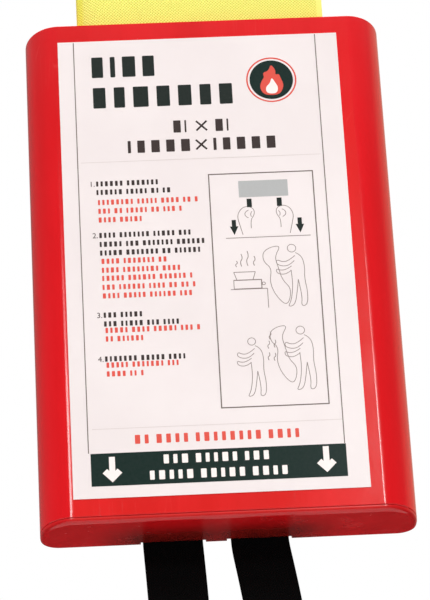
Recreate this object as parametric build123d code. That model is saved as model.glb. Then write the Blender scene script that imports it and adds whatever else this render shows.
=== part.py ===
from build123d import *
import os
from math import cos, radians, sin

# Wall-mounted fire blanket case, in millimetres. The origin is the centre of the back plate's wall face.
# +Z is up, +Y points into the wall, and the label faces -Y.

# Case, overall
CASE_WIDTH = 190.0
CASE_HEIGHT = 280.0
CASE_DEPTH = 38.0

# Case section: flat front, long elliptical front corners, round rear corners
SHELL_WALL = 2.2
FRONT_CORNER_ACROSS = 18.0
REAR_CORNER_RADIUS = 10.0
SIDE_FLAT = 2.0
LIP_FLAT = 4.0
OUTER_EDGE_RELIEF = 0.35

# Folded blanket: a square of cloth, folded across its width and then along its height
CLOTH_SIDE = 1200.0
PANELS_ACROSS = 9
LAYERS_PER_HEIGHT = 4
PACK_THICKNESS = 27.0
PACK_FOLD_RADIUS = 7.0
PACK_TAPE_GAP = 0.15
PACK_SIDE_PLAY = 0.9
PACK_FRONT_PLAY = 0.6

# Pull tapes
TAPE_WIDTH = 30.0
TAPE_THICKNESS = 1.5
TAPE_PLATE_GAP = 0.6
TAPE_HEM = 26.0
TAPE_BEND_RADIUS = 60.0
TAPE_ANCHOR_TOP = 48.0  # above the pack's lower edge
TAPE_BELOW_CASE = 130.0
TAPES = {
    "left": {"centre": -28.0, "lean": 2.2},
    "right": {"centre": 15.6, "lean": 7.6},
}

# Sewing thread on the tapes
THREAD_WIDTH = 0.7
THREAD_HEIGHT = 0.35
BOX_STITCH = 24.0
BOX_STITCH_MARGIN = 4.0
HEM_ROW_SPACING = 8.0

# Bottom cap, pushed out by the blanket
CAP_RIM = 3.0
CAP_FLOOR = 2.0
CAP_EDGE_RADIUS = 2.4
CAP_SEAM = 0.3
CAP_SPIGOT_WALL = 1.6
CAP_SPIGOT_REACH = 8.0
CAP_FIT = 0.3
CAP_RIB = 1.6
CAP_RIB_HEIGHT = 9.0
CAP_RIB_COUNT = 5
NOTCH_SIDE_PLAY = 1.5
NOTCH_FRONT_PLAY = 0.6
PACK_REST_GAP = 0.3

# Top cap, a U-shaped plate round the blanket
TOP_CAP_THICKNESS = 2.0
TOP_CAP_INSET = 1.7
TOP_CAP_FIT = 0.15
TOP_NIB = 0.9
TOP_NIB_WIDTH = 8.0
TOP_NIB_HEIGHT = 1.2

# Guides inside the case
GUIDE_RIB = 1.6
GUIDE_PLATE_GAP = 0.8
GUIDE_CAP_GAP = 1.0
RAIL_SPACING = 40.0
RAIL_COUNT = 3

# Back plate, held between the case's rear lips
PLATE_LIP_GAP = 0.15
PLATE_EDGE_GAP = 0.2
PLATE_FLANGE = 1.85
PLATE_FLANGE_REACH = 5.0
PLATE_FLANGE_OVERLAP = 1.8

# Wall keyholes
KEYHOLE_ENTRY_RADIUS = 4.2
KEYHOLE_SLOT_RADIUS = 2.2
KEYHOLE_RISE = 8.0
KEYHOLE_HEIGHT = 60.0

# Case screws and their bosses
SCREW_RADIUS = 1.45
SCREW_HEAD_RADIUS = 3.0
SCREW_HEAD_HEIGHT = 1.5
SCREW_LENGTH = 14.0
SCREW_HOLE_PLAY = 0.05
SCREW_END_PLAY = 1.0
PLATE_HOLE_PLAY = 0.25
SCREW_RECESS_DEPTH = 0.8
SCREW_RECESS_WIDTH = 0.7
SCREW_RECESS_REACH = 1.65
BOSS_RADIUS = 4.0
BOSS_END_GAP = 32.0  # from the case's end to the boss's axis

# Label
LABEL_WIDTH = 148.2
LABEL_HEIGHT = 257.2
LABEL_THICKNESS = 0.2
LABEL_OFF_CENTRE = -3.2
LABEL_RAISE = 1.2

# Worked out from the sizes above
HALF_WIDTH = CASE_WIDTH / 2
TOP = CASE_HEIGHT / 2
BOTTOM = -CASE_HEIGHT / 2
FRONT = -CASE_DEPTH
FRONT_CORNER_DEEP = CASE_DEPTH - REAR_CORNER_RADIUS - SIDE_FLAT
SHELL_BOTTOM = BOTTOM + CAP_RIM + CAP_SEAM
LIP_EDGE = HALF_WIDTH - REAR_CORNER_RADIUS - LIP_FLAT
PLATE_THICKNESS = SHELL_WALL + PLATE_LIP_GAP
PLATE_EDGE = LIP_EDGE - PLATE_EDGE_GAP
FLANGE_INNER = PLATE_EDGE - PLATE_FLANGE_OVERLAP
FLANGE_OUTER = PLATE_EDGE + PLATE_FLANGE_REACH
FLANGE_FRONT = -PLATE_THICKNESS - PLATE_FLANGE

PACK_WIDTH = CLOTH_SIDE / PANELS_ACROSS
PACK_HEIGHT = CLOTH_SIDE / LAYERS_PER_HEIGHT
TAPE_REAR = -PLATE_THICKNESS - TAPE_PLATE_GAP
TAPE_FRONT = TAPE_REAR - TAPE_THICKNESS
PACK_REAR = TAPE_FRONT - PACK_TAPE_GAP
PACK_FRONT = PACK_REAR - PACK_THICKNESS
CAP_FLOOR_TOP = BOTTOM + CAP_FLOOR
CAP_RIB_TOP = CAP_FLOOR_TOP + CAP_RIB_HEIGHT
CAP_SPIGOT_TOP = SHELL_BOTTOM + CAP_SPIGOT_REACH
PACK_BOTTOM = CAP_RIB_TOP + PACK_REST_GAP
PACK_TOP = PACK_BOTTOM + PACK_HEIGHT
TAPE_TOP = PACK_BOTTOM + TAPE_ANCHOR_TOP
NOTCH_FRONT = TAPE_FRONT - NOTCH_FRONT_PLAY
TOP_CAP_TOP = TOP - TOP_CAP_INSET
TOP_CAP_UNDER = TOP_CAP_TOP - TOP_CAP_THICKNESS
SLOT_FRONT = PACK_FRONT - PACK_FRONT_PLAY

GUIDE_INNER = PACK_WIDTH / 2 + PACK_SIDE_PLAY
GUIDE_OUTER = GUIDE_INNER + GUIDE_RIB
GUIDE_BOTTOM = max(CAP_SPIGOT_TOP, CAP_RIB_TOP) + GUIDE_CAP_GAP
POCKET_X = (GUIDE_OUTER + FLANGE_INNER) / 2
BOSS_Z = TOP - BOSS_END_GAP


def block(low, high):
    """A box from its lowest to its highest corner."""
    size = [h - l for l, h in zip(low, high)]
    return Pos(*low) * Box(*size, align=(Align.MIN, Align.MIN, Align.MIN))


def both_sides(piece):
    """A piece and its mirror image across the case's middle."""
    return piece + mirror(piece, about=Plane.YZ)


def case_outline(inset):
    """The case's section, seen from above, moved in from the outer surface by inset."""
    half = HALF_WIDTH - inset
    front, rear = FRONT + inset, -inset
    across, deep = FRONT_CORNER_ACROSS - inset, FRONT_CORNER_DEEP - inset
    corner = REAR_CORNER_RADIUS - inset
    flat_end, side_front, side_rear = half - across, front + deep, rear - corner
    front_corner = EllipticalCenterArc((flat_end, side_front), across, deep, start_angle=-90, arc_size=90)
    side = Line((half, side_front), (half, side_rear))
    rear_corner = CenterArc((half - corner, side_rear), corner, 0, 90)
    right = Curve() + [front_corner, side, rear_corner]
    left = mirror(right, about=Plane.YZ)
    front_line = Line((-flat_end, front), (flat_end, front))
    rear_line = Line((corner - half, rear), (half - corner, rear))
    return make_face([*right.edges(), *left.edges(), front_line, rear_line])


def case_prism(inset, low, high):
    """The case's section as a solid between two heights."""
    return extrude(Pos(0, 0, low) * case_outline(inset), high - low)


def rod_y(radius, x, z, front, rear):
    """A round rod along Y between two depths."""
    return Pos(x, rear, z) * extrude(Plane.XZ * Circle(radius), rear - front)


def boss_places():
    """The four screw axes, as (x, z)."""
    return [(x, z) for x in (-POCKET_X, POCKET_X) for z in (-BOSS_Z, BOSS_Z)]


def make_front_shell():
    """The deep front half: front, sides and rear lips in one moulding, open at the top and bottom."""
    outer = case_prism(0, SHELL_BOTTOM, TOP)
    end_edges = outer.edges().filter_by(Plane.XY)
    outer = chamfer(end_edges, OUTER_EDGE_RELIEF)
    shell = outer - case_prism(SHELL_WALL, SHELL_BOTTOM - 1, TOP + 1)
    shell -= block((-LIP_EDGE, -SHELL_WALL - 1, SHELL_BOTTOM - 1), (LIP_EDGE, 1, TOP + 1))
    wall_middle = FRONT + SHELL_WALL / 2
    guide_rear = -PLATE_THICKNESS - GUIDE_PLATE_GAP
    shell += both_sides(
        block((GUIDE_INNER, wall_middle, GUIDE_BOTTOM), (GUIDE_OUTER, guide_rear, TOP_CAP_UNDER))
    )
    for index in range(RAIL_COUNT):
        x = (index - (RAIL_COUNT - 1) / 2) * RAIL_SPACING
        shell += block(
            (x - GUIDE_RIB / 2, wall_middle, GUIDE_BOTTOM),
            (x + GUIDE_RIB / 2, SLOT_FRONT, TOP_CAP_UNDER),
        )
    side_inner = HALF_WIDTH - SHELL_WALL
    nib_middle = FRONT + FRONT_CORNER_DEEP + SIDE_FLAT / 2
    shell += both_sides(
        block(
            (side_inner - TOP_NIB, nib_middle - TOP_NIB_WIDTH / 2, TOP_CAP_TOP),
            (side_inner + SHELL_WALL / 2, nib_middle + TOP_NIB_WIDTH / 2, TOP_CAP_TOP + TOP_NIB_HEIGHT),
        )
    )
    hole_front = -SCREW_LENGTH - SCREW_END_PLAY
    for x, z in boss_places():
        shell += rod_y(BOSS_RADIUS, x, z, wall_middle, -PLATE_THICKNESS)
    for x, z in boss_places():
        shell -= rod_y(SCREW_RADIUS + SCREW_HOLE_PLAY, x, z, hole_front, 0)
    return shell


def keyhole(x):
    """The cutter for one keyhole: a round entry with a narrow slot rising from it."""
    slot = Pos(x, KEYHOLE_HEIGHT + KEYHOLE_RISE / 2) * Rectangle(2 * KEYHOLE_SLOT_RADIUS, KEYHOLE_RISE)
    profile = Pos(x, KEYHOLE_HEIGHT) * Circle(KEYHOLE_ENTRY_RADIUS) + slot
    profile += Pos(x, KEYHOLE_HEIGHT + KEYHOLE_RISE) * Circle(KEYHOLE_SLOT_RADIUS)
    return Pos(0, 1, 0) * extrude(Plane.XZ * profile, PLATE_THICKNESS + 2)


def screw_shape(x, z, play, front):
    """A countersunk screw's head and shank, grown by play, ending at front."""
    head = Pos(x, 0, z) * Rot(90, 0, 0) * Cone(
        SCREW_HEAD_RADIUS + play,
        SCREW_RADIUS + play,
        SCREW_HEAD_HEIGHT + play,
        align=(Align.CENTER, Align.CENTER, Align.MIN),
    )
    return head + rod_y(SCREW_RADIUS + play, x, z, front, 0)


def make_back_plate():
    """The wall plate: a flat panel with a thin flange behind each of the case's lips."""
    plate = block((-PLATE_EDGE, -PLATE_THICKNESS, SHELL_BOTTOM), (PLATE_EDGE, 0, TOP))
    plate += both_sides(
        block((FLANGE_INNER, FLANGE_FRONT, SHELL_BOTTOM), (FLANGE_OUTER, -PLATE_THICKNESS, TOP))
    )
    for x in (-POCKET_X, POCKET_X):
        plate -= keyhole(x)
    for x, z in boss_places():
        plate -= screw_shape(x, z, PLATE_HOLE_PLAY, -PLATE_THICKNESS - 1)
    return plate


def make_case_screws():
    """Four countersunk cross-recess screws from the back plate into the shell's bosses."""
    screws = []
    for x, z in boss_places():
        screw = screw_shape(x, z, 0, -SCREW_LENGTH)
        long, short = SCREW_RECESS_REACH, SCREW_RECESS_WIDTH / 2
        for half_x, half_z in ((long, short), (short, long)):
            screw -= block((x - half_x, -SCREW_RECESS_DEPTH, z - half_z), (x + half_x, 1, z + half_z))
        screws.append(screw)
    return Compound(children=screws)


def make_bottom_cap():
    """The end cap: rim and floor, a spigot inside the shell, ribs under the blanket, two tape notches."""
    cap = case_prism(0, BOTTOM, BOTTOM + CAP_RIM)
    cap = fillet(cap.edges().filter_by(Plane.XY).group_by(Axis.Z)[0], CAP_EDGE_RADIUS)
    spigot_outer = SHELL_WALL + CAP_FIT
    spigot = case_prism(spigot_outer, CAP_FLOOR_TOP, CAP_SPIGOT_TOP)
    clear_of_plate = FLANGE_FRONT - CAP_FIT
    spigot -= block((-CASE_WIDTH, clear_of_plate, BOTTOM), (CASE_WIDTH, 1, CAP_SPIGOT_TOP + 1))
    cap += spigot
    cap -= case_prism(spigot_outer + CAP_SPIGOT_WALL, CAP_FLOOR_TOP, CAP_SPIGOT_TOP + 1)
    rib_front = FRONT + spigot_outer + CAP_SPIGOT_WALL / 2
    rib_rear = NOTCH_FRONT - NOTCH_FRONT_PLAY
    rib_pitch = PACK_WIDTH / CAP_RIB_COUNT
    for index in range(CAP_RIB_COUNT):
        x = (index - (CAP_RIB_COUNT - 1) / 2) * rib_pitch
        cap += block(
            (x - CAP_RIB / 2, rib_front, CAP_FLOOR_TOP - CAP_FLOOR / 2),
            (x + CAP_RIB / 2, rib_rear, CAP_RIB_TOP),
        )
    for tape in TAPES.values():
        half = TAPE_WIDTH / 2 + NOTCH_SIDE_PLAY
        cap -= block((tape["centre"] - half, NOTCH_FRONT, BOTTOM - 1), (tape["centre"] + half, 1, 0))
    return cap


def make_top_cap():
    """The plate inside the case's upper end, open at the back where the blanket passes."""
    plate = case_prism(SHELL_WALL + TOP_CAP_FIT, TOP_CAP_UNDER, TOP_CAP_TOP)
    plate -= block((-CASE_WIDTH, FLANGE_FRONT - TOP_CAP_FIT, 0), (CASE_WIDTH, 1, TOP + 1))
    plate -= block((-GUIDE_INNER, SLOT_FRONT, 0), (GUIDE_INNER, 1, TOP + 1))
    return plate


def make_label():
    """The printed label stuck on the flat front."""
    half = LABEL_WIDTH / 2
    low = LABEL_RAISE - LABEL_HEIGHT / 2
    return block(
        (LABEL_OFF_CENTRE - half, FRONT - LABEL_THICKNESS, low),
        (LABEL_OFF_CENTRE + half, FRONT, low + LABEL_HEIGHT),
    )


def make_blanket():
    """The folded blanket as one closed solid, round at its folded edges."""
    pack = block((-PACK_WIDTH / 2, PACK_FRONT, PACK_BOTTOM), (PACK_WIDTH / 2, PACK_REAR, PACK_TOP))
    return fillet(pack.edges().filter_by(Axis.Z), PACK_FOLD_RADIUS)


def tape_run(tape):
    """Where a tape's lower straight run starts, its direction and its length, in X and Z."""
    lean = radians(tape["lean"])
    start = Vector(
        tape["centre"] + TAPE_BEND_RADIUS * (1 - cos(lean)), BOTTOM - TAPE_BEND_RADIUS * sin(lean)
    )
    direction = Vector(sin(lean), -cos(lean))
    return start, direction, TAPE_BELOW_CASE - TAPE_BEND_RADIUS * sin(lean)


def make_tape(tape):
    """One webbing tape: up behind the blanket, a slight bend at the cap, and a folded hem at its end."""
    centre, lean = tape["centre"], tape["lean"]
    start, direction, length = tape_run(tape)
    bend_centre = (centre + TAPE_BEND_RADIUS, BOTTOM)
    edges = []
    ends = []
    for offset in (-TAPE_WIDTH / 2, TAPE_WIDTH / 2):
        arc = CenterArc(bend_centre, TAPE_BEND_RADIUS - offset, 180, lean)
        end = arc @ 1 + direction * length
        edges += [Line((centre + offset, TAPE_TOP), (centre + offset, BOTTOM)), arc, Line(arc @ 1, end)]
        ends.append(end)
    edges += [
        Line((centre - TAPE_WIDTH / 2, TAPE_TOP), (centre + TAPE_WIDTH / 2, TAPE_TOP)),
        Line(ends[0], ends[1]),
    ]
    strip = Pos(0, TAPE_REAR, 0) * extrude(Plane.XZ * make_face(edges), TAPE_THICKNESS)
    hem_middle = start + direction * (length - TAPE_HEM / 2)
    hem = Plane.XZ * Pos(hem_middle.X, hem_middle.Y) * Rot(0, 0, lean) * Rectangle(TAPE_WIDTH, TAPE_HEM)
    return strip + Pos(0, TAPE_FRONT, 0) * extrude(hem, TAPE_THICKNESS)


def thread_line(middle, angle, length):
    """One straight row of thread on a tape's rear face, turned by angle from level."""
    row = Plane.XZ * Pos(middle.X, middle.Y) * Rot(0, 0, angle) * Rectangle(length, THREAD_WIDTH)
    return Pos(0, TAPE_REAR + THREAD_HEIGHT, 0) * extrude(row, THREAD_HEIGHT)


def make_stitching(tape):
    """The thread that sews a tape to the blanket, a crossed square, and the two rows across its hem."""
    middle = Vector(tape["centre"], TAPE_TOP - BOX_STITCH_MARGIN - BOX_STITCH / 2)
    reach = BOX_STITCH / 2
    box_stitch = thread_line(middle, 45, BOX_STITCH * 2**0.5) + thread_line(middle, -45, BOX_STITCH * 2**0.5)
    for turn in (0, 90, 180, 270):
        side = middle + Vector(cos(radians(turn)), sin(radians(turn))) * reach
        box_stitch += thread_line(side, turn + 90, BOX_STITCH + THREAD_WIDTH)
    start, direction, length = tape_run(tape)
    rows = []
    for index in (0, 1):
        place = start + direction * (length - TAPE_HEM / 2 + (index - 0.5) * HEM_ROW_SPACING)
        rows.append(thread_line(place, tape["lean"], BOX_STITCH))
    return Compound(children=[box_stitch, *rows])


def make_parts():
    """Every piece of the object, by its name."""
    parts = {
        "front_shell": make_front_shell(),
        "back_plate": make_back_plate(),
        "case_screws": make_case_screws(),
        "top_cap": make_top_cap(),
        "bottom_cap": make_bottom_cap(),
        "label_sheet": make_label(),
        "folded_blanket": make_blanket(),
    }
    for side, tape in TAPES.items():
        parts[side + "_pull_tape"] = make_tape(tape)
        parts[side + "_tape_stitching"] = make_stitching(tape)
    return parts


os.makedirs("parts", exist_ok=True)
for name, piece in make_parts().items():
    export_step(piece, "parts/" + name + ".step")
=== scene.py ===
import math
import random

import bmesh
import bpy
from mathutils import Matrix, Vector, noise


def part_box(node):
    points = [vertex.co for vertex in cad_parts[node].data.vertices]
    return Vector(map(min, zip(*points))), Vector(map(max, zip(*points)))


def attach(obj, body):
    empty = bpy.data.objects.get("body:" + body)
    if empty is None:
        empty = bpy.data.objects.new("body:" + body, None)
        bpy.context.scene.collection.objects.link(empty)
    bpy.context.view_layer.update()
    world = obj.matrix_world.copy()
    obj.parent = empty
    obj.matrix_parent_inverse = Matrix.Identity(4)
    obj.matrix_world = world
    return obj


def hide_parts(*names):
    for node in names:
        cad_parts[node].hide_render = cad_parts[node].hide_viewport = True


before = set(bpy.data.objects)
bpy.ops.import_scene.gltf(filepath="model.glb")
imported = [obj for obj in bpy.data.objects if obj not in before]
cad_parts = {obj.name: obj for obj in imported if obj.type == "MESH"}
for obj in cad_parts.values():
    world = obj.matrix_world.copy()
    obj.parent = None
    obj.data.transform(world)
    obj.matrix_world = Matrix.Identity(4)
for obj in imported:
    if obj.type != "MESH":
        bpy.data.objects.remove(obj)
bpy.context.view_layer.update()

# All lengths are in metres; MM turns a drawing's millimetres into them.
MM = 0.001
PACK_LOW, PACK_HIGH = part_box("folded_blanket")
CASE_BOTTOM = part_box("bottom_cap")[0].z
LABEL_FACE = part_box("label_sheet")[0].y

# The blanket's cut size, and how many panels across and passes along it is folded into.
CLOTH_SIDE = 1.2
PANELS = 9
PASSES = 4

# Each pull tape: its side, its middle and width in millimetres, its lean in degrees, its sideways sway in
# millimetres and its twist in degrees.
TAPE_LAYOUT = (
    ("left", -28.3, 30.8, 2.2, 0.25, 2.0),
    ("right", 15.7, 29.8, 7.6, 0.55, -4.0),
)


# ---------------------------------------------------------------- node and mesh helpers

# A Mix node has inputs and outputs for every kind of data; these are the ones for colour.
MIX_COLOUR_A = 6
MIX_COLOUR_B = 7
MIX_COLOUR_RESULT = 2


class NodeTree:
    """Short ways to add nodes to a node tree."""

    def __init__(self, tree):
        self.tree = tree

    def node(self, kind, inputs=(), **settings):
        """Adds a node; inputs maps a socket's name or number to a value or to another node's output."""
        made = self.tree.nodes.new("ShaderNode" + kind)
        for key, value in settings.items():
            setattr(made, key, value)
        for key, value in dict(inputs).items():
            self.feed(made.inputs[key], value)
        return made

    def feed(self, socket, value):
        if isinstance(value, bpy.types.NodeSocket):
            self.tree.links.new(value, socket)
        else:
            socket.default_value = value

    def math(self, operation, *values):
        return self.node("Math", dict(enumerate(values)), operation=operation).outputs[0]

    def ramp(self, value, none, full):
        """0 at none and 1 at full, smooth between and flat beyond; full may be the lower of the two."""
        inputs = {0: value, 1: none, 2: full}
        return self.node("MapRange", inputs, interpolation_type="SMOOTHSTEP").outputs[0]


class Finish(NodeTree):
    """A node material under construction, round a Principled shader."""

    def __init__(self, name):
        self.material = bpy.data.materials.new(name)
        self.material.use_nodes = True
        super().__init__(self.material.node_tree)
        self.shader = self.tree.nodes["Principled BSDF"]

    def mix(self, factor, a, b):
        """Colour a where factor is 0, b where it is 1."""
        mixed = self.node("Mix", {"Factor": factor, MIX_COLOUR_A: a, MIX_COLOUR_B: b}, data_type="RGBA")
        return mixed.outputs[MIX_COLOUR_RESULT]

    def coordinates(self, kind="Object", scale=(1, 1, 1), turn=0.0):
        source = self.node("TexCoord").outputs[kind]
        return self.node("Mapping", {0: source, "Scale": scale, "Rotation": (0, 0, turn)}).outputs[0]

    def noise(self, where, scale, detail=3.0, roughness=0.5):
        inputs = {"Vector": where, "Scale": scale, "Detail": detail, "Roughness": roughness}
        return self.node("TexNoise", inputs).outputs["Fac"]

    def bump(self, height, distance, strength=1.0):
        made = self.node("Bump", {"Height": height, "Distance": distance, "Strength": strength})
        self.feed(self.shader.inputs["Normal"], made.outputs[0])

    def set(self, **values):
        """Sets the shader's own sockets, with spaces written as underscores."""
        for key, value in values.items():
            self.feed(self.shader.inputs[key.replace("_", " ")], value)


def rgb(red, green, blue):
    return (red, green, blue, 1.0)


def new_piece(name, mesh_source, material, body, smooth_angle=30):
    """Makes an object at the origin from a bmesh or a mesh, gives it a finish and lets it ride on a body."""
    if isinstance(mesh_source, bmesh.types.BMesh):
        mesh = bpy.data.meshes.new(name)
        mesh_source.to_mesh(mesh)
        mesh_source.free()
    else:
        mesh = mesh_source
        mesh.name = name
    mesh.materials.clear()
    mesh.materials.append(material)
    for face in mesh.polygons:
        face.use_smooth = True
    mesh.set_sharp_from_angle(angle=math.radians(smooth_angle))
    piece = bpy.data.objects.new(name, mesh)
    bpy.context.scene.collection.objects.link(piece)
    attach(piece, body)
    return piece


def new_object(data):
    thing = bpy.data.objects.new(data.name, data)
    bpy.context.scene.collection.objects.link(thing)
    return thing


def mesh_of(thing):
    """The final mesh of an object with its curves and modifiers applied; the object itself is removed."""
    bpy.context.view_layer.update()
    graph = bpy.context.evaluated_depsgraph_get()
    mesh = bpy.data.meshes.new_from_object(thing.evaluated_get(graph), depsgraph=graph)
    mesh.transform(thing.matrix_world)
    bpy.data.objects.remove(thing)
    return mesh


def merged_bmesh(mesh, distance):
    """A bmesh of a mesh with points closer than distance joined; the mesh itself is removed."""
    bm = bmesh.new()
    bm.from_mesh(mesh)
    bpy.data.meshes.remove(mesh)
    bmesh.ops.remove_doubles(bm, verts=bm.verts, dist=distance)
    return bm


def rod_curve(name, radius, resolution):
    """An empty curve whose splines become round closed rods."""
    curve = bpy.data.curves.new(name, "CURVE")
    curve.dimensions = "3D"
    curve.bevel_depth = radius
    curve.bevel_resolution = 1
    curve.resolution_u = resolution
    curve.use_fill_caps = True
    return curve


def add_box(bm, low, high):
    """A closed box between two corners; its new vertices are returned."""
    low, high = Vector(low), Vector(high)
    place = Matrix.Translation((low + high) / 2) @ Matrix.Diagonal((*(high - low), 1))
    return bmesh.ops.create_cube(bm, size=1, matrix=place)["verts"]


# ---------------------------------------------------------------- moulded plastic

CASE_RED = (0.69, 0.0050, 0.0105)
# The cap's red is the case's red made darker: painted shade on the case's downward end.
CAP_SHADED_RED = (0.60, 0.0060, 0.0095)
PLATE_RED = (0.55, 0.0055, 0.009)
# Painted shade: the near-black laid into the cap's lower face where the tapes hang out.
TAPE_SHADE_COLOUR = (0.035, 0.006, 0.003)
# The painted shade round the tapes: how far from a tape's middle it ends and is full, and the same along the
# depth.
TAPE_SHADE_SIDES = (47 * MM, 11 * MM)
TAPE_SHADE_DEPTHS = (-37 * MM, -10 * MM)


def moulded_plastic(name, red, green, blue, gloss=0.08, scratched=1.0, scuff_below=None, tape_shade_at=None):
    """Glossy moulded plastic with flow mottling, a faint orange-peel surface and hairline scuffs."""
    finish = Finish(name)
    where = finish.coordinates()
    mottling = finish.noise(finish.coordinates(scale=(1, 1, 0.12)), 38, 4, 0.55)
    deep = rgb(red * 0.93, green * 0.8, blue * 0.8)
    bright = rgb(red * 1.05, green * 1.25, blue * 1.2)
    colour = finish.mix(finish.ramp(mottling, 0.3, 0.7), deep, bright)
    hairline = hairline_scuffs(finish, where, scratched)
    worn = finish.math("MULTIPLY", hairline, 0.25)
    if scuff_below is not None:
        worn = finish.math("MULTIPLY_ADD", edge_scuffs(finish, where, scuff_below), 0.1, worn)
    colour = finish.mix(worn, colour, rgb(red * 1.1, green + 0.07, blue + 0.06))
    if tape_shade_at is not None:
        # Painted shade of the tapes, darkest at the rear of the cap's lower face.
        colour = finish.mix(painted_tape_shade(finish, where, tape_shade_at), colour, rgb(*TAPE_SHADE_COLOUR))
    haze = finish.math("MULTIPLY_ADD", finish.noise(where, 55, 5, 0.6), 0.09, gloss)
    finish.set(Base_Color=colour, Roughness=finish.math("MULTIPLY_ADD", worn, 0.3, haze))
    finish.set(IOR=1.46, Coat_Weight=0.2, Coat_Roughness=0.04)
    peel = finish.noise(where, 420, 2, 0.4)
    finish.bump(finish.math("MULTIPLY_ADD", hairline, -0.6, peel), 0.04 * MM, 0.35)
    return finish.material


def hairline_scuffs(finish, where, amount):
    """Thin scratches, drawn out along the height, that show only in scattered patches."""
    inputs = {"Vector": finish.coordinates(scale=(1, 1, 0.06), turn=0.3), "Scale": 260}
    scratch = finish.node("TexVoronoi", inputs, feature="DISTANCE_TO_EDGE").outputs[0]
    patches = finish.math("MULTIPLY", finish.ramp(finish.noise(where, 24, 3), 0.55, 0.75), amount)
    return finish.math("MULTIPLY", finish.ramp(scratch, 0.02, 0.0), patches)


def edge_scuffs(finish, where, edge_height):
    """Fine scuffs up to 3 mm above an edge that things are knocked against."""
    height = finish.node("SeparateXYZ", {0: where}).outputs["Z"]
    edge = finish.ramp(height, edge_height + 3 * MM, edge_height - 0.5 * MM)
    return finish.math("MULTIPLY", edge, finish.ramp(finish.noise(where, 160, 4), 0.5, 0.7))


def painted_tape_shade(finish, where, middles):
    """Painted shade of the tapes on the cap's lower face: round each tape, fading towards the front."""
    parts = finish.node("SeparateXYZ", {0: where}).outputs
    near = 0.0
    for middle in middles:
        away = finish.math("ABSOLUTE", finish.math("SUBTRACT", parts["X"], middle))
        near = finish.math("MAXIMUM", near, finish.ramp(away, *TAPE_SHADE_SIDES))
    low = finish.ramp(parts["Z"], CASE_BOTTOM + 3 * MM, CASE_BOTTOM + 0.5 * MM)
    tape_shaded = finish.math("MULTIPLY", finish.math("MULTIPLY", near, finish.ramp(parts["Y"], *TAPE_SHADE_DEPTHS)), low)
    shade_break = finish.noise(where, 70, 4)
    return finish.math("MULTIPLY", tape_shaded, finish.math("MULTIPLY_ADD", shade_break, 0.4, 0.62))


# ---------------------------------------------------------------- label film, cloth, webbing and metal

THREAD_PITCH = 0.88 * MM
WEBBING_CORD_PITCH = 1.25 * MM
WEBBING_WEFT_PITCH = 1.5 * MM
WEBBING_CHEVRON = 5 * MM
SEWING_TWIST_PITCH = 0.5 * MM


def label_film():
    """White printed film, faintly pink, with a fine satin grain and slow clouds."""
    finish = Finish("label_film")
    where = finish.coordinates()
    clouds = finish.ramp(finish.noise(where, 20, 4), 0.3, 0.7)
    colour = finish.mix(clouds, rgb(0.79, 0.77, 0.785), rgb(0.825, 0.81, 0.825))
    grain = finish.noise(where, 1900, 2)
    finish.set(Base_Color=finish.mix(finish.math("MULTIPLY", grain, 0.06), colour, rgb(0.7, 0.62, 0.6)))
    finish.set(Roughness=finish.math("MULTIPLY_ADD", grain, 0.08, 0.32), IOR=1.46)
    finish.bump(grain, 0.02 * MM, 0.25)
    return finish.material


def ink(name, red, green, blue):
    """Printed ink: a thin even film with the press's faint mottle."""
    finish = Finish(name)
    mottle = finish.noise(finish.coordinates(), 700, 3)
    paler = rgb(*(channel * 0.85 + 0.02 for channel in (red, green, blue)))
    finish.set(Base_Color=finish.mix(finish.math("MULTIPLY", mottle, 0.5), rgb(red, green, blue), paler))
    finish.set(Roughness=finish.math("MULTIPLY_ADD", mottle, 0.1, 0.2), Specular_IOR_Level=0.1)
    finish.bump(mottle, 0.01 * MM, 0.2)
    return finish.material


def woven_cloth():
    """Yellow plain-woven glass cloth: every other crossing stands up, so the dots run in diagonals."""
    finish = Finish("blanket_cloth")
    where = finish.coordinates("UV")
    parts = finish.node("SeparateXYZ", {0: where}).outputs
    raised = raised_threads(finish, where, parts)
    selvedge = selvedge_band(finish, parts["X"])
    uneven = uneven_yarn(finish)
    lit = finish.ramp(finish.math("MAXIMUM", raised, selvedge), 0.12, 0.60)
    yellow = finish.mix(lit, rgb(0.63, 0.66, 0.053), rgb(0.92, 0.97, 0.245))
    # Painted shade: the cloth darkens within a few millimetres of each fold across it, but not on its woven
    # edges.
    fold_distance = finish.math("PINGPONG", parts["X"], CLOTH_SIDE / PANELS / 2)
    painted_fold_shade = finish.math("SUBTRACT", finish.ramp(fold_distance, 3.6 * MM, 1.6 * MM), selvedge)
    yellow = finish.mix(finish.math("MULTIPLY", painted_fold_shade, 0.8), yellow, rgb(0.80, 0.83, 0.058))
    tint = finish.ramp(finish.noise(where, 14, 3), 0.35, 0.65)
    yellow = finish.mix(finish.math("MULTIPLY", tint, 0.15), yellow, rgb(0.90, 0.92, 0.16))
    yellow = finish.mix(finish.math("MULTIPLY", uneven, 0.15), yellow, rgb(0.84, 0.80, 0.12))
    finish.set(Base_Color=yellow, Roughness=finish.math("MULTIPLY_ADD", raised, -0.12, 0.8))
    finish.set(Sheen_Weight=0.08, Sheen_Roughness=0.4, Specular_IOR_Level=0.3)
    pattern = finish.math("MULTIPLY", raised, finish.math("MULTIPLY_ADD", selvedge, -0.85, 1.0))
    finish.bump(finish.math("MULTIPLY_ADD", uneven, 0.5, pattern), 0.26 * MM, 0.7)
    return finish.material


def raised_threads(finish, where, parts):
    """1 where a thread stands up and 0 where it dips; the threads wander a little."""
    wander = finish.noise(where, 45, 3)
    waves = []
    for axis in ("X", "Y"):
        shifted = finish.math("MULTIPLY_ADD", wander, 1.6 * MM, parts[axis])
        waves.append(finish.math("SINE", finish.math("MULTIPLY", shifted, math.pi / THREAD_PITCH)))
    return finish.math("MULTIPLY_ADD", finish.math("MULTIPLY", waves[0], waves[1]), 0.5, 0.5)


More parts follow.
